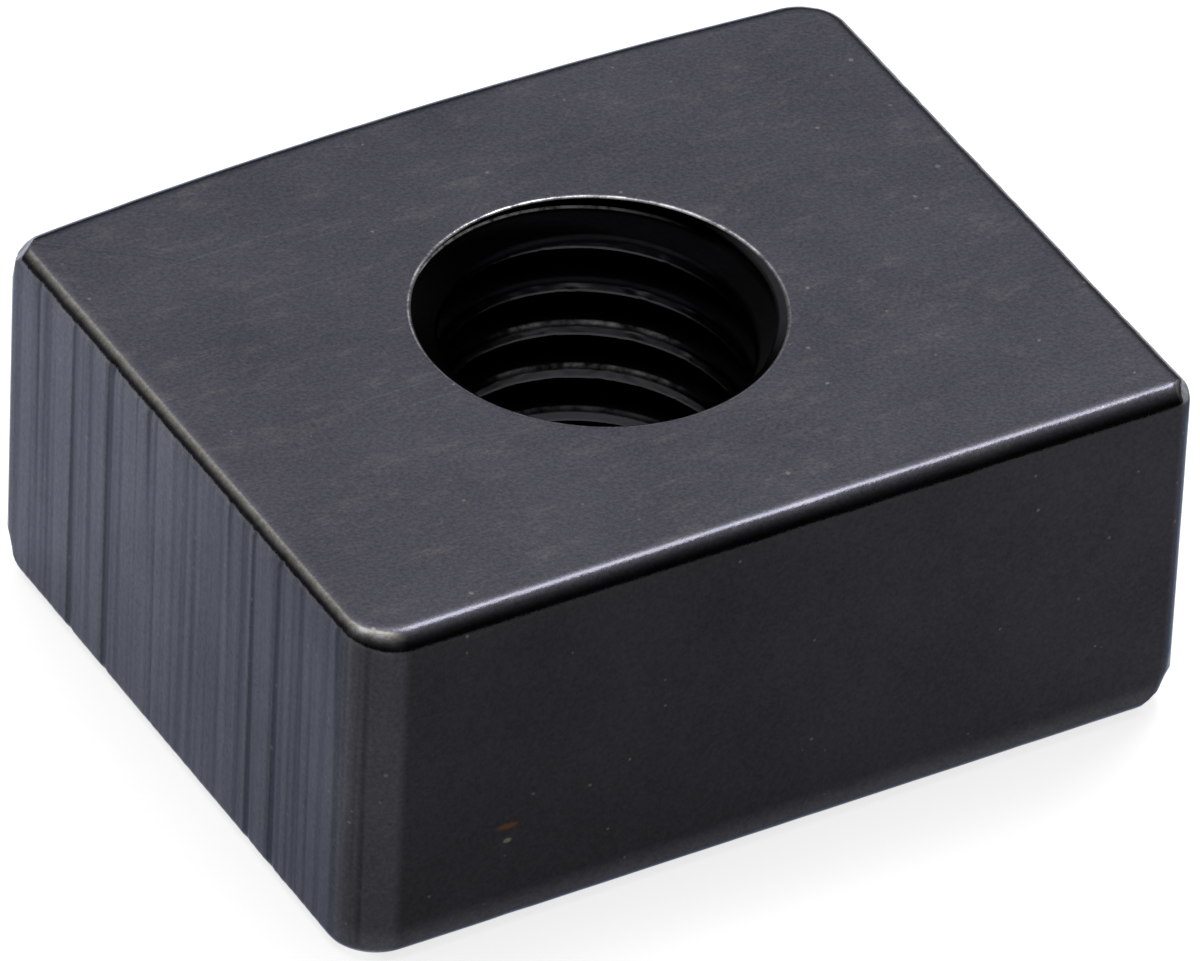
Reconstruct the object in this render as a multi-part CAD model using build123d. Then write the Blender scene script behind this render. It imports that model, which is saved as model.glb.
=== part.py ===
from build123d import *
import math
import os

# Rectangular T-slot nut: one block of drawn steel bar, cut to length, with one tapped hole
# through its height. It slides in a T-slot, and a stud or screw from above draws it up.
#
# Millimetres. +X runs along the length, +Y across to the bowed side, +Z up out of the slot.
# The origin is on the hole's axis, level with the bottom face.

# Block
LENGTH = 30.2  # over the two cut ends
WIDTH = 24.0  # over the corners of the two long sides
HEIGHT = 12.9  # bottom face to top face
BOW = 0.7  # how far the middle of the +Y side stands out past its corners
CORNER_RADIUS = 1.9  # the two upright corners that are rounded more, across a diagonal
EDGE_RADIUS = 0.8  # every other edge
HOLE_SHIFT = 0.1  # hole axis past the middle of WIDTH, towards the bowed side

# Thread: M12 coarse. The hole's wall is the top of its ridges, the minor diameter.
THREAD_DIAMETER = 12.0  # major diameter, over the bottom of the groove
PITCH = 1.75  # rise in one turn
FLANK_ANGLE = 30.0  # each side of the groove, from square to the axis
CREST_SHARE = 1 / 4  # of the pitch left flat on the ridge, by the metric profile
ROOT_SHARE = 1 / 8  # of the pitch left flat in the groove, by the metric profile
COUNTERSINK_ANGLE = 90.0  # between opposite sides of the cone at each end of the hole
COUNTERSINK_LIP = 0.05  # cone's rim past the major radius, at the top and bottom faces

FRONT = -WIDTH / 2 - HOLE_SHIFT
BACK = FRONT + WIDTH
THREAD_DEPTH = PITCH * (1 - CREST_SHARE - ROOT_SHARE) / 2 / math.tan(math.radians(FLANK_ANGLE))
MINOR_RADIUS = THREAD_DIAMETER / 2 - THREAD_DEPTH
RIM_RADIUS = THREAD_DIAMETER / 2 + COUNTERSINK_LIP


def uprights(body, diagonal):
    """The upright edges on one diagonal: +1 for front left and back right, -1 for the others."""
    middle = (FRONT + BACK) / 2
    edges = body.edges().filter_by(Axis.Z)
    return [e for e in edges if diagonal * e.center().X * (e.center().Y - middle) > 0]


def block():
    """The plan with its bowed side, raised to full height, and every edge rounded."""
    half = LENGTH / 2
    straight_sides = Polyline((half, BACK), (half, FRONT), (-half, FRONT), (-half, BACK))
    bowed_side = ThreePointArc((-half, BACK), (0, BACK + BOW), (half, BACK))
    body = extrude(make_face([straight_sides, bowed_side]), HEIGHT)
    body = fillet(uprights(body, +1), CORNER_RADIUS)
    faces = body.faces().sort_by(Axis.Z)
    rims = faces[0].edges() + faces[-1].edges()
    return fillet(rims + uprights(body, -1), EDGE_RADIUS)


def hole():
    """What the drill and the countersinks take out: a bore that opens into a cone at each end."""
    depth = (RIM_RADIUS - MINOR_RADIUS) / math.tan(math.radians(COUNTERSINK_ANGLE / 2))
    side = Polyline(
        (0, 0),
        (RIM_RADIUS, 0),
        (MINOR_RADIUS, depth),
        (MINOR_RADIUS, HEIGHT - depth),
        (RIM_RADIUS, HEIGHT),
        (0, HEIGHT),
        close=True,
    )
    return revolve(make_face(Plane.XZ * side), Axis.Z)


os.makedirs("parts", exist_ok=True)
nut = block() - hole()
print("t_slot_nut", "valid:", nut.is_valid, "volume:", round(nut.volume, 1), nut.bounding_box())
export_step(nut, "parts/t_slot_nut.step")
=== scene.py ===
# %% [markdown]
# # A T-slot nut in blackened steel
# A T-slot nut is a small steel block with one tapped hole. It slides in the slot of a machine
# table, and a stud screwed into it holds the work down. This one is cut from a drawn bar, its
# ends are sawn, its edges are rounded in a tumbler, and it is blackened in a hot salt bath.
#
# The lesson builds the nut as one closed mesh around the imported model, gives it two finishes,
# and sets it on a white floor under a soft diffuser. Lengths are in metres throughout.

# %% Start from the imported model
import itertools
import math

import bmesh
import bpy
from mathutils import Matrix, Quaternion, Vector


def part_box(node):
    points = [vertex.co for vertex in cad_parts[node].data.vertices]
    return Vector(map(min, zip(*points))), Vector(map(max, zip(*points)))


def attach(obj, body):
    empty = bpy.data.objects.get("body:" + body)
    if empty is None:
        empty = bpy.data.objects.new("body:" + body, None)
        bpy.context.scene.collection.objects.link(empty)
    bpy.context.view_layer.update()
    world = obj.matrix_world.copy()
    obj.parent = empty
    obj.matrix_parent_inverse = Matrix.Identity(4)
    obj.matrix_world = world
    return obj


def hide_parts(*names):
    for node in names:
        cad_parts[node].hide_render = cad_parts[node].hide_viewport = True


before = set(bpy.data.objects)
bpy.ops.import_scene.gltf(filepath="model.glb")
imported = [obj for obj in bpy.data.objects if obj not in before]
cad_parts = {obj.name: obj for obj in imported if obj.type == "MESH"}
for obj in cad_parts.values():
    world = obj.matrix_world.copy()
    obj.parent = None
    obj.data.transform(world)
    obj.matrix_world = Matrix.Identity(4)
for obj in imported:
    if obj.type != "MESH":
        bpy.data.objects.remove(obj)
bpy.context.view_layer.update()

MM = 0.001
low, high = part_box("t_slot_nut")
print("block", [round(side / MM, 2) for side in high - low], "mm")

# %% [markdown]
# ## Small helpers for node trees
# Both the shapes and the finishes are node trees, and a tree made in a script is a list of
# nodes and links. A few helpers keep that list readable: one adds a node and fills or links its
# inputs, and the others do the same for a sum, a product and a soft step between two numbers.


# %% Helpers for node trees
def node(tree, kind, inputs=None, **settings):
    """Adds one node; an input is either a plain value or the socket that feeds it."""
    made = tree.nodes.new(kind)
    for name, value in settings.items():
        setattr(made, name, value)
    for name, value in (inputs or {}).items():
        if isinstance(value, bpy.types.NodeSocket):
            tree.links.new(value, made.inputs[name])
        else:
            made.inputs[name].default_value = value
    return made


def maths(tree, operation, *values, clamp=False):
    """One sum, whose inputs are numbers or sockets, in order."""
    inputs = dict(enumerate(values))
    return node(tree, "ShaderNodeMath", inputs, operation=operation, use_clamp=clamp).outputs[0]


def product(tree, first, *others):
    """All the values multiplied, in order."""
    for other in others:
        first = maths(tree, "MULTIPLY", first, other)
    return first


def ramp(tree, value, start, end, at_start=0.0, at_end=1.0, smooth=True):
    """Maps start..end to at_start..at_end, with soft ends unless told otherwise."""
    kind = "SMOOTHSTEP" if smooth else "LINEAR"
    inputs = {"Value": value, "From Min": start, "From Max": end, "To Min": at_start, "To Max": at_end}
    return node(tree, "ShaderNodeMapRange", inputs, interpolation_type=kind, clamp=True).outputs["Result"]


def vector_maths(tree, operation, *values, **inputs):
    """One sum with vectors; its result is a vector."""
    inputs.update(enumerate(values))
    return node(tree, "ShaderNodeVectorMath", inputs, operation=operation).outputs[0]


def parts_of(tree, vector):
    """The X, Y and Z of a vector."""
    return node(tree, "ShaderNodeSeparateXYZ", {0: vector}).outputs


# %% Helper for the sockets of a group
def sockets(tree, inputs, outputs):
    """Gives a group its named inputs and outputs; an input has its usual value or its kind of socket."""
    kinds = {float: "NodeSocketFloat", int: "NodeSocketInt", tuple: "NodeSocketVector"}
    for name, value in inputs.items():
        if isinstance(value, str):
            tree.interface.new_socket(name, in_out="INPUT", socket_type=value)
        else:
            made = tree.interface.new_socket(name, in_out="INPUT", socket_type=kinds[type(value)])
            made.default_value = value
    for name, kind in outputs.items():
        tree.interface.new_socket(name, in_out="OUTPUT", socket_type=kind)
    return node(tree, "NodeGroupInput").outputs, node(tree, "NodeGroupOutput").inputs


# %% [markdown]
# ## The tapped hole
# The thread is M12 with a pitch of 1.75 mm: one groove with 60 degree flanks, running up the
# bore as a right-hand helix. Its shape follows a rule, so Geometry Nodes make it.
# A flat grid is rolled up: across the grid is the turn round the hole, and along it is the way
# up. Each row climbs one pitch in a turn, so that every row stays at one place of the thread's
# profile and the crests stay crisp. Rows that would leave the block are pressed onto its mouths,
# where the doubles are merged. The countersink at each mouth wins wherever it is wider.

# %% Sizes of the thread
PITCH = 1.75 * MM
CREST_RADIUS = 5.053 * MM
ROOT_RADIUS = 6.0 * MM
MOUTH_RADIUS = 6.05 * MM
MOUTH_SOFTNESS = 0.05 * MM    # how far the worn lip of the mouth reaches down and out
FIRST_CREST = 0.96 * MM       # height of a crest above the bottom face, on the +X side
HOLE_COLUMNS = 240
ROWS_PER_TURN = 16
CREST_TO_FLANK, FLANK_TO_ROOT = 1 / 8, 7 / 16      # places on the profile, 0 crest and 0.5 root
BURR = 0.05 * MM              # how far the torn crest stands proud, at most
MERGE_DISTANCE = 0.001 * MM


# %% The tree that cuts the thread
def tapped_hole_tree():
    tree = bpy.data.node_groups.new("tapped_hole", "GeometryNodeTree")
    given, result = sockets(tree, {
        "Bottom": 0.0, "Top": 0.01, "Pitch": 0.001, "First Crest": 0.0, "Crest Radius": 0.004,
        "Root Radius": 0.005, "Mouth Radius": 0.005, "Burr": 0.0, "Columns": 120,
        "Rows per Turn": 16, "Seed": 0.0, "Material": "NodeSocketMaterial",
    }, {"Geometry": "NodeSocketGeometry"})

    # The grid, from -0.5 to 0.5 each way, gives the turn round the hole and the way climbed.
    height = maths(tree, "SUBTRACT", given["Top"], given["Bottom"])
    turns = maths(tree, "ADD", maths(tree, "CEIL", maths(tree, "DIVIDE", height, given["Pitch"])), 2)
    rows = maths(tree, "MULTIPLY", turns, given["Rows per Turn"])
    grid = node(tree, "GeometryNodeMeshGrid", {
        "Size X": 1.0, "Size Y": 1.0,
        "Vertices X": maths(tree, "ADD", given["Columns"], 1), "Vertices Y": maths(tree, "ADD", rows, 1),
    })
    place = parts_of(tree, node(tree, "GeometryNodeInputPosition").outputs[0])
    round_share = maths(tree, "ADD", place["X"], 0.5)
    climbed = maths(tree, "MULTIPLY", maths(tree, "ADD", place["Y"], 0.5), turns)

    # How far along the profile: 0 on the crest, a half in the root.
    share = maths(tree, "FRACT", maths(tree, "ADD", climbed, 0.5))
    along = maths(tree, "ABSOLUTE", maths(tree, "SUBTRACT", share, 0.5))
    thread = ramp(tree, along, CREST_TO_FLANK, FLANK_TO_ROOT, given["Crest Radius"], given["Root Radius"],
                  smooth=False)

    # The height, pressed onto the mouths, and the countersink, which follows from it.

    start = maths(tree, "MULTIPLY_ADD", given["Pitch"], -2, given["First Crest"])
    free = maths(tree, "MULTIPLY_ADD", maths(tree, "ADD", round_share, climbed), given["Pitch"], start)
    up = maths(tree, "MINIMUM", maths(tree, "MAXIMUM", free, given["Bottom"]), given["Top"])
    from_bottom = maths(tree, "SUBTRACT", up, given["Bottom"])
    depth = maths(tree, "MINIMUM", from_bottom, maths(tree, "SUBTRACT", given["Top"], up))
    cone = maths(tree, "SUBTRACT", given["Mouth Radius"], depth)

    # A torn, slightly uneven crest, fading out towards both mouths.
    turn = maths(tree, "MULTIPLY", round_share, math.tau)
    across, beyond = maths(tree, "COSINE", turn), maths(tree, "SINE", turn)
    spot = node(tree, "ShaderNodeCombineXYZ", {0: across, 1: beyond, 2: maths(tree, "MULTIPLY", up, 400)})
    noise = node(tree, "ShaderNodeTexNoise", {
        "Vector": spot.outputs[0], "W": given["Seed"], "Scale": 9.0, "Detail": 3.0,
    }, noise_dimensions="4D")
    near_crest = ramp(tree, along, 0.25, 0.1)
    torn = product(tree, ramp(tree, noise.outputs[0], 0.5, 0.75), near_crest, given["Burr"])
    radius = maths(tree, "MAXIMUM", maths(tree, "ADD", thread, torn), cone)

    rolled = node(tree, "ShaderNodeCombineXYZ", {
        0: maths(tree, "MULTIPLY", across, radius), 1: maths(tree, "MULTIPLY", beyond, radius), 2: up,
    })
    wall = node(tree, "GeometryNodeSetPosition", {
        "Geometry": grid.outputs["Mesh"], "Position": rolled.outputs[0],
    })
    wall = node(tree, "GeometryNodeMergeByDistance", {
        "Geometry": wall.outputs[0], "Distance": MERGE_DISTANCE,
    })
    wall = node(tree, "GeometryNodeFlipFaces", {"Mesh": wall.outputs[0]})
    wall = node(tree, "GeometryNodeSetShadeSmooth", {"Geometry": wall.outputs[0]})
    wall = node(tree, "GeometryNodeRealizeInstances", {"Geometry": wall.outputs[0]})
    wall = node(tree, "GeometryNodeSetMaterial", {"Geometry": wall.outputs[0], "Material": given["Material"]})
    tree.links.new(wall.outputs[0], result[0])
    return tree


# %% [markdown]
# ## From a tree to a plain mesh
# A modifier's inputs are known by their sockets' identifiers, which differ from their names.
# The tree runs once, its result is copied into a plain mesh, and the modifier is gone.


# %% Run a tree
def run_tree(tree, mesh, **values):
    """The mesh that a tree makes of a mesh, with the tree's inputs given by name."""
    holder = bpy.data.objects.new("holder", mesh)
    bpy.context.scene.collection.objects.link(holder)
    modifier = holder.modifiers.new("tree", "NODES")
    modifier.node_group = tree
    for item in tree.interface.items_tree:
        key = item.name.replace(" ", "_").lower()
        if item.in_out == "INPUT" and key in values:
            modifier[item.identifier] = values.pop(key)
    assert not values, values
    graph = bpy.context.evaluated_depsgraph_get()
    made = bpy.data.meshes.new_from_object(holder.evaluated_get(graph), preserve_all_data_layers=True,
                                           depsgraph=graph)
    bpy.data.objects.remove(holder)
    return made


# %% The two finishes, filled in further down
block_finish = bpy.data.materials.new("blackened_block")
thread_finish = bpy.data.materials.new("oiled_black_thread")

# %% Cut the thread
hole_mesh = run_tree(
    tapped_hole_tree(), bpy.data.meshes.new("empty"),
    bottom=low.z + MOUTH_SOFTNESS, top=high.z - MOUTH_SOFTNESS,
    pitch=PITCH, first_crest=low.z + FIRST_CREST,
    crest_radius=CREST_RADIUS, root_radius=ROOT_RADIUS, mouth_radius=MOUTH_RADIUS - MOUTH_SOFTNESS,
    burr=BURR, columns=HOLE_COLUMNS, rows_per_turn=ROWS_PER_TURN, seed=3.0, material=thread_finish,
)
print("tapped hole", len(hole_mesh.vertices), "vertices,", round((high.z - low.z) / PITCH, 2), "turns")

# %% [markdown]
# ## The outline of the block
# Seen from above the block is a rectangle with rounded corners, and its back is bowed out by
# less than a millimetre. Two opposite corners were rounded more than the others.
# The outline is walked once round, from the middle of the back, and every point keeps the way
# it faces and how far along it lies, which the saw marks need later.

# %% Sizes of the block
BOW = 0.7 * MM
EDGE_ROUND = 0.8 * MM
END_RIM = 0.55 * MM           # the rims of the sawn ends are crisper
BIG_CORNER = 1.9 * MM
END_STEP = 0.06 * MM          # columns are close on the sawn ends, which carry fine marks
SIDE_STEP = 0.22 * MM


# %% The pieces of the outline
def arc(centre, radius, start, end, step):
    """Points of an arc with the way each one faces, without the last point."""
    count = max(2, round(abs(end - start) * radius / step))
    angles = [start + (end - start) * i / count for i in range(count)]
    facings = [Vector((math.cos(angle), math.sin(angle))) for angle in angles]
    return [(centre + radius * facing, facing) for facing in facings]


def straight(start, end, facing, step):
    """Points of a straight piece, all facing one way, without the last point."""
    count = max(2, round((end - start).length / step))
    return [(start.lerp(end, i / count), facing) for i in range(count)]


# %% Walk the outline
def walk_outline():
    """Every point of the outline with the way it faces, from the middle of the back to the left."""
    half, front, back = (high.x - low.x) / 2, low.y, high.y
    bow_radius = (half ** 2 + BOW ** 2) / (2 * BOW)
    bow_centre = Vector((0, back - bow_radius))
    points, quarter = [], math.pi / 2

    def back_corner(side, radius):
        """Centre of the rounding between an end and the bowed back, and the way it faces there."""
        x = side * (half - radius)
        y = bow_centre.y + math.sqrt((bow_radius - radius) ** 2 - x ** 2)
        return Vector((x, y)), math.atan2(y - bow_centre.y, x)

    left, left_turn = back_corner(-1, EDGE_ROUND)
    right, right_turn = back_corner(1, BIG_CORNER)
    near_left = Vector((-half + BIG_CORNER, front + BIG_CORNER))
    near_right = Vector((half - EDGE_ROUND, front + EDGE_ROUND))
    points += arc(bow_centre, bow_radius, quarter, left_turn, SIDE_STEP)
    points += arc(left, EDGE_ROUND, left_turn, math.pi, END_STEP)
    points += straight(Vector((-half, left.y)), Vector((-half, near_left.y)), Vector((-1, 0)), END_STEP)
    points += arc(near_left, BIG_CORNER, math.pi, math.pi + quarter, END_STEP)
    points += straight(Vector((near_left.x, front)), Vector((near_right.x, front)), Vector((0, -1)),
                       SIDE_STEP)
    points += arc(near_right, EDGE_ROUND, -quarter, 0, END_STEP)
    points += straight(Vector((half, near_right.y)), Vector((half, right.y)), Vector((1, 0)), END_STEP)
    points += arc(right, BIG_CORNER, 0, right_turn, END_STEP)
    points += arc(bow_centre, bow_radius, right_turn, quarter, SIDE_STEP)
    return points


outline = walk_outline()
lengths = [0.0]
for (here, _), (there, _) in zip(outline, outline[1:]):
    lengths.append(lengths[-1] + (there - here).length)
print("outline", len(outline), "points,", round(lengths[-1] / MM, 1), "mm round")

# %% [markdown]
# ## The rounded block
# The skin is a stack of rings. Each ring is the outline, drawn in where the rim is rounded, and
# raised to its height. One more ring on each flat keeps the shading of the flats clean.
# Then the tumbler's work is added: every corner where three faces meet loses its tip, some more
# than others. The step from worn to untouched is a little soft, so that no crease shows.

# %% Sizes of the rings
RIM_STEPS = 9
WALL_STEPS = 14
FLAT_MARGIN = 0.12 * MM
KEPT_CORNER = 0.03 * MM       # the flats' own corners stay this round, so that no points meet
FLAT_EASE = 6 * MM             # nearer the middle than this, the extra ring is drawn in less
SAWN_FROM, SAWN_SPAN = 0.35, 0.4    # how much a side faces along X before it counts as sawn
TIP_SOFTNESS = 0.08 * MM
# How deep each tip is worn along its diagonal, in millimetres, by the side it is on in X, Y and Z.
TIP_WEAR = {(-1, 1, 1): 0.72, (-1, 1, -1): 0.86, (1, -1, -1): 0.96, (1, 1, -1): 0.76,
            (1, 1, 1): 0.70, (1, -1, 1): 0.64, (-1, -1, 1): 0.60, (-1, -1, -1): 0.62}


# %% The levels of the rings
def ring_levels():
    """From the bottom flat to the top flat: how far each ring is drawn in and how far it is from its
    flat, both in rim radii, its place on the plain wall, and how upright the skin is there."""
    lift = [(1 - math.sin(a), 1 - math.cos(a), math.sin(a))
            for a in (math.pi / 2 * i / RIM_STEPS for i in range(RIM_STEPS + 1))]
    levels = [(1.0, 0.0, 0.0, 0.0)]
    levels += [(inset, up, 0.0, upright) for inset, up, upright in lift]
    levels += [(0.0, 0.0, i / WALL_STEPS, 1.0) for i in range(1, WALL_STEPS)]
    levels += [(inset, up, 1.0, upright) for inset, up, upright in reversed(lift)]
    levels += [(1.0, 0.0, 1.0, 0.0)]
    return levels


# %% Wear the tips
def wear_tip(point):
    """Draws a point near one of the eight tips in along the tip's diagonal."""
    side = tuple(1 if value > 0 else -1 for value in (point.x, point.y, point.z - (low.z + high.z) / 2))
    tip = Vector((high.x if side[0] > 0 else low.x, high.y - BOW if side[1] > 0 else low.y,
                  high.z if side[2] > 0 else low.z))
    inward = -Vector(side).normalized()
    reach = (point - tip).dot(inward)
    short = TIP_WEAR[side] * MM - reach
    if short <= -TIP_SOFTNESS:
        return point
    push = short if short >= TIP_SOFTNESS else (short + TIP_SOFTNESS) ** 2 / (4 * TIP_SOFTNESS)
    return point + inward * push


# %% Stack the rings
def block_skin():
    """The skin as an open mesh, with its two inner loops left for the faces with the hole."""
    mesh = bpy.data.meshes.new("block_skin")
    levels, count = ring_levels(), len(outline)
    points, along, sawn = [], [], []
    for number, (inset, up, wall_share, upright) in enumerate(levels):
        on_flat = number in (0, len(levels) - 1)
        for (spot, facing), length in zip(outline, lengths):
            rim = EDGE_ROUND + (END_RIM - EDGE_ROUND) * facing.x ** 2
            inner = spot - facing * min(inset * rim, EDGE_ROUND - KEPT_CORNER)
            if on_flat:                 # a little smaller all over, for clean shading
                inner = Vector([c - math.copysign(FLAT_MARGIN, c) * min(1, abs(c) / FLAT_EASE)
                                for c in inner])
            if wall_share in (0.0, 1.0):
                height = low.z + rim * up if wall_share == 0.0 else high.z - rim * up
            else:
                height = low.z + rim + (high.z - low.z - 2 * rim) * wall_share
            point = Vector((inner.x, inner.y, height))
            points.append(point if on_flat else wear_tip(point))
            along.append(length)
            end = min(1.0, max(0.0, (abs(facing.x) - SAWN_FROM) / SAWN_SPAN))
            sawn.append(end * upright ** 2)
    faces = []
    for level in range(len(levels) - 1):
        for i in range(count):
            j = (i + 1) % count
            a, b = level * count, (level + 1) * count
            faces.append((a + i, a + j, b + j, b + i))
    mesh.from_pydata(points, [], faces)
    mesh.attributes.new("along", "FLOAT", "POINT").data.foreach_set("value", along)
    mesh.attributes.new("sawn", "FLOAT", "POINT").data.foreach_set("value", sawn)
    mesh.shade_smooth()
    return mesh


skin_mesh = block_skin()
print("block skin", len(skin_mesh.vertices), "vertices")

# %% [markdown]
# ## Saw marks and worn edges
# The ends were sawn off the bar, and the blade left upright lines of many depths. They are real
# grooves of a few hundredths of a millimetre, so they are pressed into the mesh.
# A Geometry Nodes tree does this where the skin is marked as sawn. The noise is read along the
# outline, and hardly changes with height, which makes it a set of upright lines.
# The same tree dents the rounded edges slightly, which breaks the light that runs along them.

# %% Shares of the saw's lines
COARSE_SHARE, FINE_SHARE, CUT_SHARE = 0.35, 0.30, 0.8


# %% Helpers of the marks
def largest_of(tree, parts):
    """The largest part of a vector, which is 1 on a plain face and less on an edge."""
    return maths(tree, "MAXIMUM", maths(tree, "MAXIMUM", parts["X"], parts["Y"]), parts["Z"])


def named(tree, name):
    """A number that each point of the mesh carries under a name."""
    return node(tree, "GeometryNodeInputNamedAttribute", {"Name": name}, data_type="FLOAT").outputs[0]


# %% The tree that marks the ends
def saw_mark_tree():
    tree = bpy.data.node_groups.new("saw_marks", "GeometryNodeTree")
    given, result = sockets(tree, {
        "Geometry": "NodeSocketGeometry", "Depth": 0.0, "Coarse": 0.001, "Fine": 0.0003, "Lean": 0.02,
        "Dent": 0.0, "Dent Size": 0.001, "Seed": 0.0, "Material": "NodeSocketMaterial",
    }, {"Geometry": "NodeSocketGeometry"})
    position = node(tree, "GeometryNodeInputPosition").outputs[0]
    leaning = maths(tree, "MULTIPLY", parts_of(tree, position)["Z"], given["Lean"])

    def lines(spacing, offset, detail):
        spot = node(tree, "ShaderNodeCombineXYZ", {
            0: maths(tree, "DIVIDE", named(tree, "along"), spacing),
            1: maths(tree, "DIVIDE", leaning, spacing),
            2: maths(tree, "ADD", given["Seed"], offset),
        })
        inputs = {"Vector": spot.outputs[0], "Scale": 1.0, "Detail": detail}
        return node(tree, "ShaderNodeTexNoise", inputs).outputs[0]

    # Broad lines, single deep cuts and fine lines; the offsets keep their noises apart.
    coarse = ramp(tree, lines(given["Coarse"], 0.0, 1.0), 0.36, 0.62)
    cuts = ramp(tree, lines(given["Coarse"], 7.0, 0.0), 0.40, 0.28)
    fine = ramp(tree, lines(given["Fine"], 13.0, 1.0), 0.30, 0.70)
    groove = maths(tree, "MULTIPLY_ADD", fine, FINE_SHARE, maths(tree, "MULTIPLY", cuts, CUT_SHARE))
    groove = maths(tree, "MULTIPLY_ADD", coarse, COARSE_SHARE, groove)
    groove = maths(tree, "MULTIPLY", groove, named(tree, "sawn"))

    # Dents, only where the skin is rounded.
    normal = node(tree, "GeometryNodeInputNormal").outputs[0]
    rounded = ramp(tree, largest_of(tree, parts_of(tree, vector_maths(tree, "ABSOLUTE", normal))), 0.99, 0.85)
    dents = node(tree, "ShaderNodeTexNoise", {
        "Vector": position, "W": given["Seed"],
        "Scale": maths(tree, "DIVIDE", 1.0, given["Dent Size"]), "Detail": 3.0,
    }, noise_dimensions="4D").outputs[0]
    dent = product(tree, ramp(tree, dents, 0.45, 0.75), rounded, given["Dent"])

    depth = maths(tree, "MULTIPLY_ADD", groove, given["Depth"], dent)
    inward = vector_maths(tree, "SCALE", normal, Scale=maths(tree, "MULTIPLY", depth, -1))
    marked = node(tree, "GeometryNodeStoreNamedAttribute", {
        "Geometry": given["Geometry"], "Name": "groove", "Value": groove,
    }, data_type="FLOAT", domain="POINT")
    cut = node(tree, "GeometryNodeSetPosition", {"Geometry": marked.outputs[0], "Offset": inward})
    cut = node(tree, "GeometryNodeRealizeInstances", {"Geometry": cut.outputs[0]})
    cut = node(tree, "GeometryNodeSetMaterial", {"Geometry": cut.outputs[0], "Material": given["Material"]})
    tree.links.new(cut.outputs[0], result[0])
    return tree


# %% Mark the ends
skin_mesh = run_tree(
    saw_mark_tree(), skin_mesh, depth=0.030 * MM, coarse=0.80 * MM, fine=0.26 * MM, lean=0.012,
    dent=0.011 * MM, dent_size=1.7 * MM, seed=5.0, material=block_finish,
)
print("marked skin", len(skin_mesh.vertices), "vertices, groove depths kept:", "groove" in skin_mesh.attributes)

# %% [markdown]
# ## One closed mesh
# The skin and the thread are joined by the lip of each mouth, a small rounding from the
# countersink to the flat, and by the flats themselves.

# %% The lip of a mouth
LIP_STEPS = 5


def lip_rings(face, outward):
    """Rings from the countersink's end out onto the flat, with a soft edge between."""
    start = Vector((MOUTH_RADIUS - MOUTH_SOFTNESS, -MOUTH_SOFTNESS))
    edge = Vector((MOUTH_RADIUS, 0.0))
    end = Vector((MOUTH_RADIUS + MOUTH_SOFTNESS, 0.0))
    rings = []
    for i in range(LIP_STEPS + 1):
        t = i / LIP_STEPS
        rings.append((1 - t) ** 2 * start + 2 * t * (1 - t) * edge + t ** 2 * end)
    rings.append(Vector((MOUTH_RADIUS + MOUTH_SOFTNESS + FLAT_MARGIN, 0.0)))
    return [[Vector((r.x * math.cos(a), r.x * math.sin(a), face + outward * r.y))
             for a in (math.tau * i / HOLE_COLUMNS for i in range(HOLE_COLUMNS))] for r in rings]


# %% [markdown]
# ### Filling the flats
# A flat is the ring-shaped face between the lip and the block's edge, whose loops have different
# numbers of points. Both loops are walked round the hole at once, as one zips up a coat: each
# triangle takes the next point of the loop that has come less far round.

# %% Fill between two loops
def join_by_turn(joined, inner, outer, outward):
    """Triangles between two loops round the hole, taking the next point of whichever loop is behind."""
    def turn_of(vertex):
        return math.atan2(vertex.co.y, vertex.co.x)

    loops, turns = [], []
    for loop in (inner, outer):
        first = min(range(len(loop)), key=lambda i: turn_of(loop[i]))
        loops.append(loop[first:] + loop[:first])
        turns.append(list(itertools.accumulate(map(turn_of, loops[-1]), max)))
    at = [0, 0]
    while at[0] < len(loops[0]) or at[1] < len(loops[1]):
        ahead = [turns[k][at[k]] if at[k] < len(loops[k]) else math.inf for k in (0, 1)]
        k = 0 if ahead[0] < ahead[1] else 1
        here = [loops[n][at[n] % len(loops[n]) if n == k else (at[n] - 1) % len(loops[n])] for n in (0, 1)]
        before = loops[k][(at[k] - 1) % len(loops[k])]
        corners = (here[0], here[1], before) if k == 0 else (here[0], before, here[1])
        joined.faces.new(corners if outward > 0 else corners[::-1])
        at[k] += 1
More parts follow.
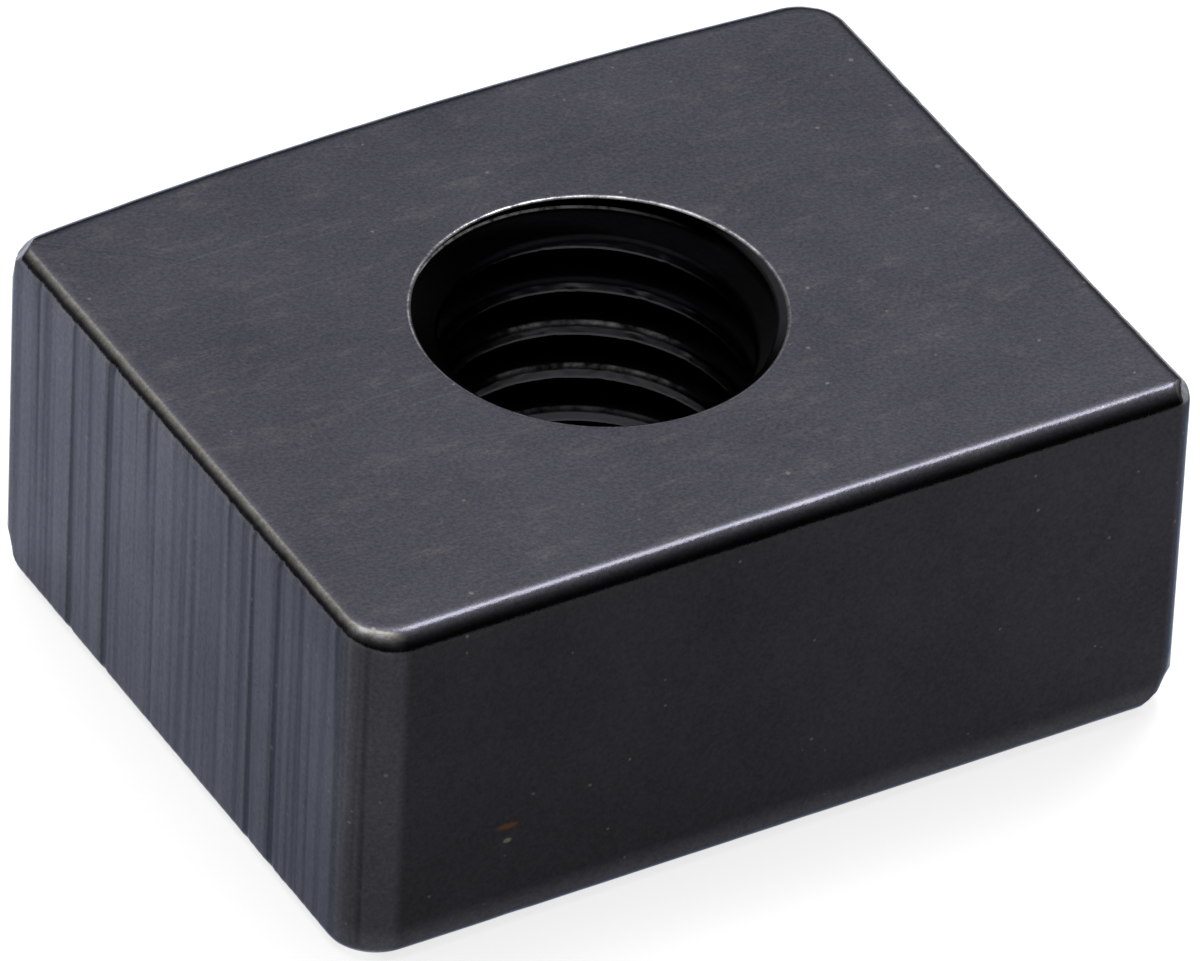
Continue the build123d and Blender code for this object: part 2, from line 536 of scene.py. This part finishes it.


# %% [markdown]
# ### Joining it all
# The skin and the hole go into one mesh, and the hole's faces keep the thread's finish. Then
# doubles are merged, normals are turned outwards, and the open edges are counted.

# %% Close the block
def close_block():
    """The nut as one closed mesh, with the block's finish in slot 0 and the thread's in slot 1."""
    joined = bmesh.new()
    joined.from_mesh(skin_mesh)
    rim_count, size = len(outline), len(joined.verts)
    joined.from_mesh(hole_mesh)
    joined.verts.index_update()
    for face in joined.faces:
        face.material_index = 1 if face.verts[0].index >= size else 0
    joined.verts.ensure_lookup_table()
    skins = {low.z: [joined.verts[i] for i in range(rim_count)],
             high.z: [joined.verts[i] for i in range(size - rim_count, size)]}
    for face_height, outward in ((low.z, -1), (high.z, 1)):
        rings = [[joined.verts.new(p) for p in ring] for ring in lip_rings(face_height, outward)]
        for inner, outer in zip(rings, rings[1:]):
            for i in range(HOLE_COLUMNS):
                j = (i + 1) % HOLE_COLUMNS
                joined.faces.new((inner[i], inner[j], outer[j], outer[i])[::-outward])
        join_by_turn(joined, rings[-1], skins[face_height], outward)
    bmesh.ops.remove_doubles(joined, verts=joined.verts, dist=MERGE_DISTANCE)
    bmesh.ops.dissolve_degenerate(joined, edges=joined.edges, dist=MERGE_DISTANCE / 10)
    bmesh.ops.recalc_face_normals(joined, faces=joined.faces)
    for vertex in joined.verts:         # not a hair outside the block's box
        vertex.co = [min(max(c, a), b) for c, a, b in zip(vertex.co, low, high)]
    open_edges = sum(1 for edge in joined.edges if not edge.is_manifold)
    volume = joined.calc_volume(signed=True)
    for face in joined.faces:
        face.smooth = True
    mesh = bpy.data.meshes.new("nut_body")
    joined.to_mesh(mesh)
    joined.free()
    print("nut body", len(mesh.vertices), "vertices,", sum(len(p.vertices) - 2 for p in mesh.polygons),
          "triangles,", open_edges, "open edges,", round(volume / MM ** 3, 1), "cubic mm")
    return mesh


# %% The finished piece
nut_body = bpy.data.objects.new("nut_body", close_block())
nut_body.data.materials.append(block_finish)
nut_body.data.materials.append(thread_finish)
bpy.context.scene.collection.objects.link(nut_body)
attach(nut_body, "root")
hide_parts("t_slot_nut")

# %% [markdown]
# ## Effects that both finishes share
# Blackened steel is never one even black. The salt bath leaves cloudy patches, the grain of the
# steel shows as a fine mottle, dust and bare specks catch the light, and rubbed places go grey.
# The same uneven patches also break up the painted highlights and the painted light.
# Each of these is a node group with its own inputs, so both finishes can use it in their own way.


# %% Cloudy, grainy oxide
def oxide_cloud_group():
    tree = bpy.data.node_groups.new("oxide_cloud", "ShaderNodeTree")
    given, result = sockets(tree, {
        "Vector": (0.0, 0.0, 0.0), "Cloud Size": 0.004, "Cloud": 0.1, "Grain Size": 0.0002, "Grain": 0.1,
    }, {"Shade": "NodeSocketFloat", "Height": "NodeSocketFloat"})

    def noise(size, detail, rough):
        return node(tree, "ShaderNodeTexNoise", {
            "Vector": given["Vector"], "Scale": maths(tree, "DIVIDE", 1.0, given[size]),
            "Detail": detail, "Roughness": rough,
        }).outputs[0]

    cloud = maths(tree, "SUBTRACT", noise("Cloud Size", 4.0, 0.6), 0.5)
    grain = maths(tree, "SUBTRACT", noise("Grain Size", 3.0, 0.7), 0.5)
    shade = maths(tree, "MULTIPLY_ADD", cloud, given["Cloud"], 1.0)
    shade = maths(tree, "MULTIPLY_ADD", grain, given["Grain"], shade)
    tree.links.new(shade, result["Shade"])
    tree.links.new(grain, result["Height"])
    return tree


# %% Specks
def speck_group():
    tree = bpy.data.node_groups.new("specks", "ShaderNodeTree")
    given, result = sockets(tree, {
        "Vector": (0.0, 0.0, 0.0), "Spacing": 0.001, "Size": 0.05, "Share": 0.3,
    }, {"Mask": "NodeSocketFloat"})
    cells = node(tree, "ShaderNodeTexVoronoi", {
        "Vector": given["Vector"], "Scale": maths(tree, "DIVIDE", 1.0, given["Spacing"]), "Randomness": 1.0,
    })
    chance = node(tree, "ShaderNodeSeparateColor", {0: cells.outputs["Color"]}).outputs
    kept = maths(tree, "LESS_THAN", chance[0], given["Share"])
    size = maths(tree, "MULTIPLY", given["Size"], maths(tree, "MULTIPLY_ADD", chance[1], 1.2, 0.4))
    near = maths(tree, "SUBTRACT", 1.0, maths(tree, "DIVIDE", cells.outputs["Distance"], size), clamp=True)
    near = ramp(tree, near, 0.0, 0.6)
    tree.links.new(maths(tree, "MULTIPLY", near, kept), result["Mask"])
    return tree


# %% Rubbed places
def uneven_patch_group():
    tree = bpy.data.node_groups.new("rubbed_places", "ShaderNodeTree")
    given, result = sockets(tree, {
        "Vector": (0.0, 0.0, 0.0), "Where": 1.0, "Patch Size": 0.002, "Cover": 0.5,
    }, {"Mask": "NodeSocketFloat"})
    patches = node(tree, "ShaderNodeTexNoise", {
        "Vector": given["Vector"], "Scale": maths(tree, "DIVIDE", 1.0, given["Patch Size"]), "Detail": 5.0,
        "Roughness": 0.65,
    }).outputs[0]
    level = maths(tree, "SUBTRACT", maths(tree, "ADD", patches, given["Cover"]), 0.5)
    mask = maths(tree, "MULTIPLY", ramp(tree, level, 0.35, 0.65), given["Where"])
    tree.links.new(mask, result["Mask"])
    return tree


oxide_cloud, specks, rubbed_places = oxide_cloud_group(), speck_group(), uneven_patch_group()
print("shared effects", [tree.name for tree in (oxide_cloud, specks, rubbed_places)])


# %% Helpers for finishes
def effect(tree, group, **values):
    """Places a shared effect in a finish."""
    made = node(tree, "ShaderNodeGroup", node_tree=group)
    for name, value in values.items():
        socket = made.inputs[name.replace("_", " ").title()]
        if isinstance(value, bpy.types.NodeSocket):
            tree.links.new(value, socket)
        else:
            socket.default_value = value
    return made.outputs


def patchy_mask(tree, spot, where, patch_size, cover):
    """Uneven patches, for wear and for painted light alike, kept to the places where the mask says."""
    return effect(tree, rubbed_places, vector=spot, where=where, patch_size=patch_size, cover=cover)["Mask"]


def blend_colours(tree, share, one, other):
    """Goes from one colour to the other as share goes from 0 to 1."""
    mix = node(tree, "ShaderNodeMix", {0: share}, data_type="RGBA")
    for socket, colour in ((mix.inputs[6], one), (mix.inputs[7], other)):
        if isinstance(colour, bpy.types.NodeSocket):
            tree.links.new(colour, socket)
        else:
            socket.default_value = (*colour, 1.0)
    return mix.outputs[2]


def laid_on(tree, colour, mask, strength, other):
    """A colour with another one laid over it where the mask says, at the given strength."""
    return blend_colours(tree, maths(tree, "MULTIPLY", mask, strength), colour, other)


def shaded(tree, colour, shade):
    """A colour made lighter or darker by a number."""
    return vector_maths(tree, "SCALE", colour, Scale=shade)


def finish_tree(material):
    """An emptied node tree with a Principled shader and Object coordinates."""
    material.use_nodes = True
    tree = material.node_tree
    tree.nodes.clear()
    shader = node(tree, "ShaderNodeBsdfPrincipled")
    node(tree, "ShaderNodeOutputMaterial", {"Surface": shader.outputs[0]})
    return tree, shader, node(tree, "ShaderNodeTexCoord").outputs


# %% [markdown]
# ## The finish of the block
# One finish covers the outside, because it is one block blackened in one bath, but the faces
# were made in different ways. The flats are ground and look a soft grey, the drawn sides are
# smooth and darker, partly as painted shade because they face away from the light, and the sawn
# ends are grey with dark lines of painted shade in their grooves.
# Blackened steel is still metal, so the finish is fully metallic, with dark colours.

# %% Colours of the block
FLAT_GREY = (0.079, 0.078, 0.096)
SAWN_GREY = (0.090, 0.090, 0.104)
# The drawn sides' black is partly their own darker oxide and partly painted shade.
DRAWN_SIDE_BLACK_AND_SHADE = (0.0175, 0.0168, 0.0190)
# This grey serves real rubbing and hairlines, and also a painted sheen and painted light.
RUBBED_AND_LIT_GREY = (0.17, 0.17, 0.19)
# Painted highlight: the pale line along the upper rims of the sawn ends.
RIM_HIGHLIGHT_GREY = (0.24, 0.235, 0.215)
# Bare steel, for real wear and also for painted glints and highlights.
BARE_STEEL_AND_GLINT = (0.72, 0.72, 0.74)
SPECK_TAN = (0.30, 0.27, 0.22)
RUST_BROWN = (0.075, 0.030, 0.010)
GRAZING_TINT = (0.55, 0.58, 0.66, 1)      # the oxide dulls even a grazing reflection

# %% The rust mark on the front side, with a pale spot under it
RUST_MARK, RUST_HALF_SIZE = Vector((-9.73, -12.1, 4.09)) * MM, Vector((0.50, 1.0, 0.16)) * MM
PALE_SPOT, PALE_HALF_SIZE = RUST_MARK - Vector((0, 0, 0.58)) * MM, Vector((0.20, 1.0, 0.13)) * MM

# %% [markdown]
# ### Where the nut is worn, and where light is painted
# The way a face points tells which face it is. Where it points between two faces it is an edge,
# where it points between three it is a tip, and both are rubbed lighter, partly as painted
# highlights. Each range below goes from no effect to the full effect, in parts of the normal,
# where 1 is straight that way.

# %% Ranges of the masks
FLAT_RANGE = (0.50, 0.85)                 # up or down: from a side to a flat
END_RANGE = (0.10, 0.32)                  # along X: from a drawn side to a sawn end
EDGE_RANGE = (0.97, 0.82)                 # largest part: from a plain face to an edge
RIM_RANGE = (0.995, 0.96)                 # the same, starting nearer to the face
SLANTED_RANGE = (0.10, 0.30)              # up or down: leaves the upright edges out
TIP_RANGE, TIP_RISE = (0.12, 0.30), (0.35, 0.75)         # smallest part, and up or down
BROW_START, BROW_STOP = (0.985, 0.93), (0.64, 0.80)      # up: the upper part of a rim
BROW_END_RANGE = (0.06, 0.16)             # along X: only the rims of the sawn ends
UNDER_RANGE = (-0.10, -0.60)              # up: the rim of the underside
FOOT_RANGE = (low.z + 1.5 * MM, low.z + 0.6 * MM)        # height: the foot of the sides
LIP_RANGE = (MOUTH_RADIUS + 0.10 * MM, MOUTH_RADIUS + 0.02 * MM)
OFF_HOLE_RANGE = (7 * MM, 8 * MM)


# %% Helpers for places on the nut
def length_of(tree, vector):
    return node(tree, "ShaderNodeVectorMath", {0: vector}, operation="LENGTH").outputs["Value"]


def from_axis(tree, spot):
    """How far a point is from the hole's axis."""
    return length_of(tree, vector_maths(tree, "MULTIPLY", spot, (1.0, 1.0, 0.0)))


def near_mark(tree, spot, mark, half_size):
    """1 at a mark, falling to 0 round it."""
    gap = vector_maths(tree, "DIVIDE", vector_maths(tree, "SUBTRACT", spot, mark), half_size)
    return ramp(tree, length_of(tree, gap), 1.0, 0.3)


# %% The masks of the block
def block_masks(tree, spot, normal):
    """Masks from 0 to 1, by name, for each kind of face, edge and place."""
    signed, place, radius = parts_of(tree, normal), parts_of(tree, spot), from_axis(tree, spot)
    parts = parts_of(tree, vector_maths(tree, "ABSOLUTE", normal))
    most = largest_of(tree, parts)
    least = maths(tree, "MINIMUM", maths(tree, "MINIMUM", parts["X"], parts["Y"]), parts["Z"])
    flat, edge = ramp(tree, parts["Z"], *FLAT_RANGE), ramp(tree, most, *EDGE_RANGE)
    under = product(tree, ramp(tree, signed["Z"], *UNDER_RANGE), edge)
    foot_sheen = product(tree, ramp(tree, place["Z"], *FOOT_RANGE), 0.8, parts["Y"])
    return {
        "flat": flat,
        "end": product(tree, ramp(tree, parts["X"], *END_RANGE), maths(tree, "SUBTRACT", 1.0, flat)),
        "rim": ramp(tree, most, *RIM_RANGE),
        "slanted edge": product(tree, edge, ramp(tree, parts["Z"], *SLANTED_RANGE)),
        "tip": product(tree, ramp(tree, least, *TIP_RANGE), ramp(tree, parts["Z"], *TIP_RISE)),
        # painted highlight on the upper rims of the sawn ends
        "end rim highlight": product(tree, ramp(tree, signed["Z"], *BROW_START), ramp(tree, signed["Z"], *BROW_STOP),
                        ramp(tree, radius, *OFF_HOLE_RANGE),
                        ramp(tree, parts["X"], *BROW_END_RANGE, 0.0, 0.9)),
        # painted reflection: a hazy pale band along the underside rim and low on the sides
        "foot_sheen": maths(tree, "MAXIMUM", under, foot_sheen),
        "far lip": product(tree, ramp(tree, radius, *LIP_RANGE),
                           ramp(tree, place["Y"], -1.5 * MM, 3 * MM, 0.25, 1.0)),
        "dusty": ramp(tree, parts["Z"], 0.2, 0.9, 0.14, 0.50),
        # painted shade on the sawn ends, toward the sides and toward the front
        "painted shade facing side": ramp(tree, parts["Y"], 0.02, 0.75, 1.0, 0.42),
        "painted shade toward front": ramp(tree, place["Y"], low.y, 3 * MM, 0.70, 1.0),
        # painted light: paler toward the right end
        "painted light to the right": ramp(tree, place["X"], -6 * MM, high.x, 0.0, 0.34),
    }


# %% [markdown]
# ### Colours, layer by layer
# First comes the colour that each face has from the bath, with painted light making the block
# paler toward its right end. The grooves of the saw are painted darker at their bottoms, as shade,
# and painted shade darkens the sawn ends where they turn into the sides and toward the front.
# Wear and painted highlights are laid over that, then fine hairlines, smears and specks of dust,
# and last the mark of rust.

# %% The colour from the bath
def bath_colour(tree, masks):
    """The colour of each face before any wear, with painted light and shade: paler toward the right, darker in
    the saw's grooves and where the sawn ends turn toward the front.
    """
    colour = blend_colours(tree, masks["flat"], DRAWN_SIDE_BLACK_AND_SHADE, FLAT_GREY)
    # Painted light: the block is painted paler toward its right end, much more on the sides than on the flats.
    painted_light_right = product(tree, masks["painted light to the right"], maths(tree, "MULTIPLY_ADD", masks["flat"], -0.85, 1.0))
    colour = shaded(tree, colour, maths(tree, "ADD", 1.0, painted_light_right))
    groove = node(tree, "ShaderNodeAttribute", attribute_name="groove").outputs["Fac"]
    # Painted shade and light: the saw's grooves are painted darker at their bottoms and paler on their ridges.
    painted_groove_shade = ramp(tree, groove, 0.1, 0.9, 1.18, 0.50)
    # Painted shade: the sawn ends are painted darker where they turn into the sides and toward the front.
    painted_end_shade = product(tree, masks["painted shade facing side"], masks["painted shade toward front"])
    sawn = shaded(tree, SAWN_GREY, product(tree, painted_groove_shade, painted_end_shade))
    return blend_colours(tree, masks["end"], colour, sawn)


# %% Wear
def add_wear_and_highlights(tree, colour, spot, masks):
    """Rubbed edges, a painted highlight along the upper rims of the sawn ends, a painted sheen at the foot,
    bare tips that are partly painted glints, and a bare far lip.
    """
    for place, patch_size, cover, strength, overlay_colour in (
            ("slanted edge", 1.6 * MM, 0.55, 0.12, RUBBED_AND_LIT_GREY),
            ("end rim highlight", 1.2 * MM, 0.75, 1.0, RIM_HIGHLIGHT_GREY),
            ("foot_sheen", 2.2 * MM, 0.75, 0.22, RUBBED_AND_LIT_GREY),
            # The bare tips are partly wear and partly painted glints.
            ("tip", 0.7 * MM, 0.62, 0.42, BARE_STEEL_AND_GLINT),
            ("far lip", 0.6 * MM, 0.52, 0.8, BARE_STEEL_AND_GLINT)):
        mask = patchy_mask(tree, spot, masks[place], patch_size, cover)
        colour = laid_on(tree, colour, mask, strength, overlay_colour)
    return colour


# %% Hairlines, smears, specks and rust
HAIR_STRETCH = (70.0, 5200.0, 300.0)      # noise drawn out along X makes hairlines
SMEAR_STRETCH = (0.45, 1.0, 1.0)


def add_small_marks(tree, colour, spot, masks):
    """What lies on the flats and sides without following their edges."""
    drawn_out = vector_maths(tree, "MULTIPLY", spot, HAIR_STRETCH)
    hairs = node(tree, "ShaderNodeTexNoise", {"Vector": drawn_out, "Scale": 1.0, "Detail": 2.0}).outputs[0]
    hair = maths(tree, "MULTIPLY", ramp(tree, hairs, 0.66, 0.78), masks["flat"])
    colour = laid_on(tree, colour, hair, 0.22, RUBBED_AND_LIT_GREY)
    stretched = vector_maths(tree, "MULTIPLY", spot, SMEAR_STRETCH)
    smear = patchy_mask(tree, stretched, masks["flat"], 0.6 * MM, 0.36)
    colour = laid_on(tree, colour, smear, 0.15, SPECK_TAN)
    dust = effect(tree, specks, vector=spot, spacing=0.9 * MM, size=0.085, share=0.55)["Mask"]
    colour = laid_on(tree, colour, dust, masks["dusty"], SPECK_TAN)
    pale = near_mark(tree, spot, PALE_SPOT, PALE_HALF_SIZE)
    colour = laid_on(tree, colour, pale, 0.25, SPECK_TAN)
    return laid_on(tree, colour, near_mark(tree, spot, RUST_MARK, RUST_HALF_SIZE), 0.8, RUST_BROWN)


# %% Build the block's finish
def build_block_finish():
    tree, shader, coordinates = finish_tree(block_finish)
    spot = coordinates["Object"]
    masks = block_masks(tree, spot, coordinates["Normal"])
    cloud = effect(tree, oxide_cloud, vector=spot, cloud_size=4.5 * MM, cloud=0.52,
                   grain_size=0.14 * MM, grain=1.1)
    colour = add_wear_and_highlights(tree, bath_colour(tree, masks), spot, masks)
    colour = add_small_marks(tree, colour, spot, masks)
    tree.links.new(shaded(tree, colour, cloud["Shade"]), shader.inputs["Base Color"])

    # The rounded rims were burnished in the tumbler, so they are smoother than the faces.
    rough = maths(tree, "MULTIPLY_ADD", cloud["Height"], 0.12, 0.30)
    rough = maths(tree, "MULTIPLY_ADD", masks["rim"], -0.14, rough)
    tree.links.new(rough, shader.inputs["Roughness"])
    bump = node(tree, "ShaderNodeBump", {"Height": cloud["Height"], "Distance": 0.02 * MM, "Strength": 0.3})
    tree.links.new(bump.outputs[0], shader.inputs["Normal"])
    shader.inputs["Metallic"].default_value = 1.0
    shader.inputs["Specular Tint"].default_value = GRAZING_TINT


build_block_finish()
print("block finish", len(block_finish.node_tree.nodes), "nodes")

# %% [markdown]
# ## The finish of the thread
# Inside the hole the bath and the oil leave the flanks nearly black. The crests are what is left
# of the drilled bore, smoother and a little paler, and they are painted paler only on the far wall,
# where the light falls, so they show as dull bands with short painted glints. How far a point is
# from the hole's axis tells crest from flank.

# %% Colours of the thread
FLANK_BLACK = (0.0025, 0.0025, 0.003)
CREST_GREY = (0.030, 0.031, 0.040)
LIT_FAR_WALL = Vector((0.45, 0.89, 0.0))      # the far wall of the bore, facing the camera, where the crests are painted paler as painted light

# %% Ranges of the thread's masks
LIT_FAR_WALL_RANGE = (0.55 * CREST_RADIUS, 0.98 * CREST_RADIUS)
CREST_RANGE = (CREST_RADIUS + 0.16 * MM, CREST_RADIUS + 0.03 * MM)
GLINTS_ABOVE, GLINTS_BELOW = (4.6 * MM, 5.6 * MM), (9.8 * MM, 8.8 * MM)
FIRST_EDGE_DEPTH = 0.68 * MM              # of the first turn's torn edge, on the +X side
TORN_HALF_WIDTH = (0.045 * MM, 0.015 * MM)
TORN_FROM, TORN_TO = (0.5, 1.2), (2.9, 2.3)              # turns round the hole, in radians
CONE_RANGE = (high.z - 0.75 * MM, high.z - 0.35 * MM)
CONE_LIT_TURN, CONE_LIT_RANGE = -0.25, (0.75, 0.25)


# %% The torn edge and the lit part of the countersink
def torn_edge_and_highlight(tree, spot, height, turn):
    """The ragged edge where the thread runs out into the countersink, painted pale: partly bare steel, partly a
    painted highlight.
    """
    edge_height = maths(tree, "MULTIPLY_ADD", turn, PITCH / math.tau, high.z - FIRST_EDGE_DEPTH)
    off_edge = maths(tree, "ABSOLUTE", maths(tree, "SUBTRACT", height, edge_height))
    torn = product(tree, ramp(tree, off_edge, *TORN_HALF_WIDTH), ramp(tree, turn, *TORN_FROM),
                   ramp(tree, turn, *TORN_TO))
    return patchy_mask(tree, spot, torn, 0.4 * MM, 0.58)


def lit_cone(tree, height, turn):
    """Painted light: the part of the countersink that is painted a little paler, where light falls on it."""
    off_turn = maths(tree, "ABSOLUTE", maths(tree, "SUBTRACT", turn, CONE_LIT_TURN))
    return product(tree, ramp(tree, height, *CONE_RANGE), ramp(tree, off_turn, *CONE_LIT_RANGE))


# %% Build the thread's finish
def build_thread_finish():
    tree, shader, coordinates = finish_tree(thread_finish)
    spot = coordinates["Object"]
    place = parts_of(tree, spot)
    upward, height = parts_of(tree, coordinates["Normal"])["Z"], place["Z"]
    turn = maths(tree, "ARCTAN2", place["Y"], place["X"])
    side = node(tree, "ShaderNodeVectorMath", {0: spot, 1: LIT_FAR_WALL}, operation="DOT_PRODUCT")
    lit_far_wall = ramp(tree, side.outputs["Value"], *LIT_FAR_WALL_RANGE)
    crest = ramp(tree, from_axis(tree, spot), *CREST_RANGE)
    cloud = effect(tree, oxide_cloud, vector=spot, cloud_size=1.8 * MM, cloud=0.7,
                   grain_size=0.3 * MM, grain=0.3)

    # Painted light: the crests take their paler tone only on the far wall, where the light falls.
    crest_tone_where_lit = patchy_mask(tree, spot, product(tree, crest, lit_far_wall), 2.0 * MM, 0.75)
    # Painted highlights: short glints of bare steel on the upper shoulders of the far wall's crests, between
    # two heights.
    inside = product(tree, ramp(tree, height, *GLINTS_ABOVE), ramp(tree, height, *GLINTS_BELOW))
    shoulder = product(tree, product(tree, ramp(tree, upward, 0.12, 0.35), crest),
                       product(tree, ramp(tree, lit_far_wall, 0.55, 0.95), inside))
    glint = patchy_mask(tree, spot, shoulder, 0.9 * MM, 0.50)
    torn, lit = torn_edge_and_highlight(tree, spot, height, turn), lit_cone(tree, height, turn)

    colour = blend_colours(tree, crest_tone_where_lit, FLANK_BLACK, CREST_GREY)
    colour = laid_on(tree, colour, lit, 0.30, RUBBED_AND_LIT_GREY)
    colour = laid_on(tree, colour, torn, 0.8, BARE_STEEL_AND_GLINT)
    colour = laid_on(tree, colour, glint, 1.0, BARE_STEEL_AND_GLINT)
    tree.links.new(shaded(tree, colour, cloud["Shade"]), shader.inputs["Base Color"])
    tree.links.new(maths(tree, "MULTIPLY_ADD", cloud["Height"], 0.15, 0.32), shader.inputs["Roughness"])

    # The paler crests, the painted light on the countersink and the torn edge scatter light more than oiled
    # oxide does, so they are half as metallic; the painted glints stay fully metallic.
    dull = product(tree, maths(tree, "MAXIMUM", crest_tone_where_lit, lit), maths(tree, "SUBTRACT", 1.0, glint))
    dull = maths(tree, "MAXIMUM", dull, maths(tree, "MULTIPLY", torn, 1.6))
    metallic = maths(tree, "SUBTRACT", 1.0, maths(tree, "MULTIPLY", dull, 0.5))
    tree.links.new(metallic, shader.inputs["Metallic"])
    bump = node(tree, "ShaderNodeBump", {"Height": cloud["Height"], "Distance": 0.02 * MM, "Strength": 0.5})
    tree.links.new(bump.outputs[0], shader.inputs["Normal"])


build_thread_finish()
print("thread finish", len(thread_finish.node_tree.nodes), "nodes")

# %% [markdown]
# ## The floor
# The nut stands on a plain white floor. The floor gives light of its own, for the camera and for
# reflections only, so that it reads as white while the nut's shadow stays on it.

# %% Floor
FLOOR_HALF = 2.0
FLOOR_WHITE, FLOOR_GLOW = (0.72, 0.72, 0.72, 1), 0.76
floor_mesh = bpy.data.meshes.new("floor")
floor_mesh.from_pydata([(x * FLOOR_HALF, y * FLOOR_HALF, low.z)
                        for x, y in ((-1, -1), (1, -1), (1, 1), (-1, 1))], [], [(0, 1, 2, 3)])
floor = bpy.data.objects.new("floor", floor_mesh)
bpy.context.scene.collection.objects.link(floor)
floor_paint = bpy.data.materials.new("white_floor")
floor_paint.use_nodes = True
floor_mesh.materials.append(floor_paint)
paint = floor_paint.node_tree
rays = node(paint, "ShaderNodeLightPath").outputs
seen = maths(paint, "MAXIMUM", rays["Is Camera Ray"], rays["Is Glossy Ray"])
seen = maths(paint, "MAXIMUM", seen, rays["Is Transmission Ray"])
skin = paint.nodes["Principled BSDF"]
skin.inputs["Base Color"].default_value = FLOOR_WHITE
skin.inputs["Roughness"].default_value = 0.9
skin.inputs["Specular IOR Level"].default_value = 0.0
skin.inputs["Emission Color"].default_value = (1, 1, 1, 1)
paint.links.new(maths(paint, "MULTIPLY", seen, FLOOR_GLOW), skin.inputs["Emission Strength"])
print("floor", 2 * FLOOR_HALF, "m wide at height", round(low.z / MM, 3), "mm")

# %% [markdown]
# ### The sky
# A dark metal shows mostly what it mirrors. The sky is dark but for one large, soft diffuser that
# hangs over the table, a little to the back. How near a direction is to the diffuser's middle
# gives its brightness. The diffuser's own edge makes the thin lines of light on the rims, and the
# darkness round it makes the dark lines beside them.

# %% Sky
DIFFUSER_TOWARDS = Vector((0.12, 0.36, 0.925)).normalized()
SKY_STRENGTH = 2.0
# Pairs of nearness to the diffuser's middle, where 1 is its middle, and brightness.
SKY_SHADES = ((0.0, 0.02), (0.35, 0.05), (0.65, 0.12), (0.80, 0.28),
              (0.86, 0.42), (0.91, 0.58), (0.955, 0.95), (1.0, 1.0))
world = bpy.data.worlds.new("studio")
bpy.context.scene.world = world
world.use_nodes = True
sky = world.node_tree
direction = node(sky, "ShaderNodeTexCoord").outputs["Generated"]
nearness = node(sky, "ShaderNodeVectorMath", {0: direction, 1: DIFFUSER_TOWARDS}, operation="DOT_PRODUCT")
shades = node(sky, "ShaderNodeValToRGB", {0: nearness.outputs["Value"]})
for place, _ in SKY_SHADES[2:]:
    shades.color_ramp.elements.new(place)
for element, (place, shade) in zip(shades.color_ramp.elements, SKY_SHADES):
    element.position = place
    element.color = (shade, shade, shade, 1)
background = sky.nodes["Background"]
sky.links.new(shades.outputs[0], background.inputs["Color"])
background.inputs["Strength"].default_value = SKY_STRENGTH
print("sky", len(SKY_SHADES), "shades, strength", SKY_STRENGTH)

# %% [markdown]
# ### Lamp and camera
# One small lamp in the diffuser sharpens the line of light along the front edge. The camera is
# far away with a long lens, so the block's edges stay nearly parallel.

# %% Lamp
centre = (low + high) / 2
LAMP_TOWARDS = Vector((0.40, 0.22, 0.89)).normalized()
LAMP_DISTANCE, LAMP_SIZE, LAMP_BRIGHTNESS = 0.35, 0.09, 6.5
lamp_data = bpy.data.lights.new("softbox", "AREA")
lamp_data.shape = "SQUARE"
lamp_data.size = LAMP_SIZE
lamp_data.energy = LAMP_BRIGHTNESS * math.pi * LAMP_SIZE ** 2
lamp = bpy.data.objects.new("softbox", lamp_data)
bpy.context.scene.collection.objects.link(lamp)
lamp.location = centre + LAMP_TOWARDS * LAMP_DISTANCE
lamp.rotation_mode = "QUATERNION"
lamp.rotation_quaternion = LAMP_TOWARDS.to_track_quat("Z", "Y")
print("lamp power", round(lamp_data.energy, 3), "W")

# %% Camera
AZIMUTH, ELEVATION, ROLL = math.radians(-31.12), math.radians(37.80), math.radians(2.78)
CAMERA_DISTANCE = 0.51697
LENS_LENGTH, SENSOR_WIDTH = 480, 36       # in millimetres, as Blender's cameras count them
aim = centre + Vector((1.73, 2.06, -2.63)) * MM
level_way = Vector((math.sin(AZIMUTH), -math.cos(AZIMUTH), 0))
towards = level_way * math.cos(ELEVATION) + Vector((0, 0, math.sin(ELEVATION)))
camera_data = bpy.data.cameras.new("camera")
camera_data.lens, camera_data.sensor_width = LENS_LENGTH, SENSOR_WIDTH
camera_data.clip_start, camera_data.clip_end = 0.01, 10
camera = bpy.data.objects.new("camera", camera_data)
bpy.context.scene.collection.objects.link(camera)
camera.location = aim + towards * CAMERA_DISTANCE
camera.rotation_mode = "QUATERNION"
camera.rotation_quaternion = towards.to_track_quat("Z", "Y") @ Quaternion((0, 0, 1), ROLL)
bpy.context.scene.camera = camera
bpy.context.scene.view_settings.view_transform = "Standard"
print("camera", [round(x / MM, 1) for x in camera.location], "mm")
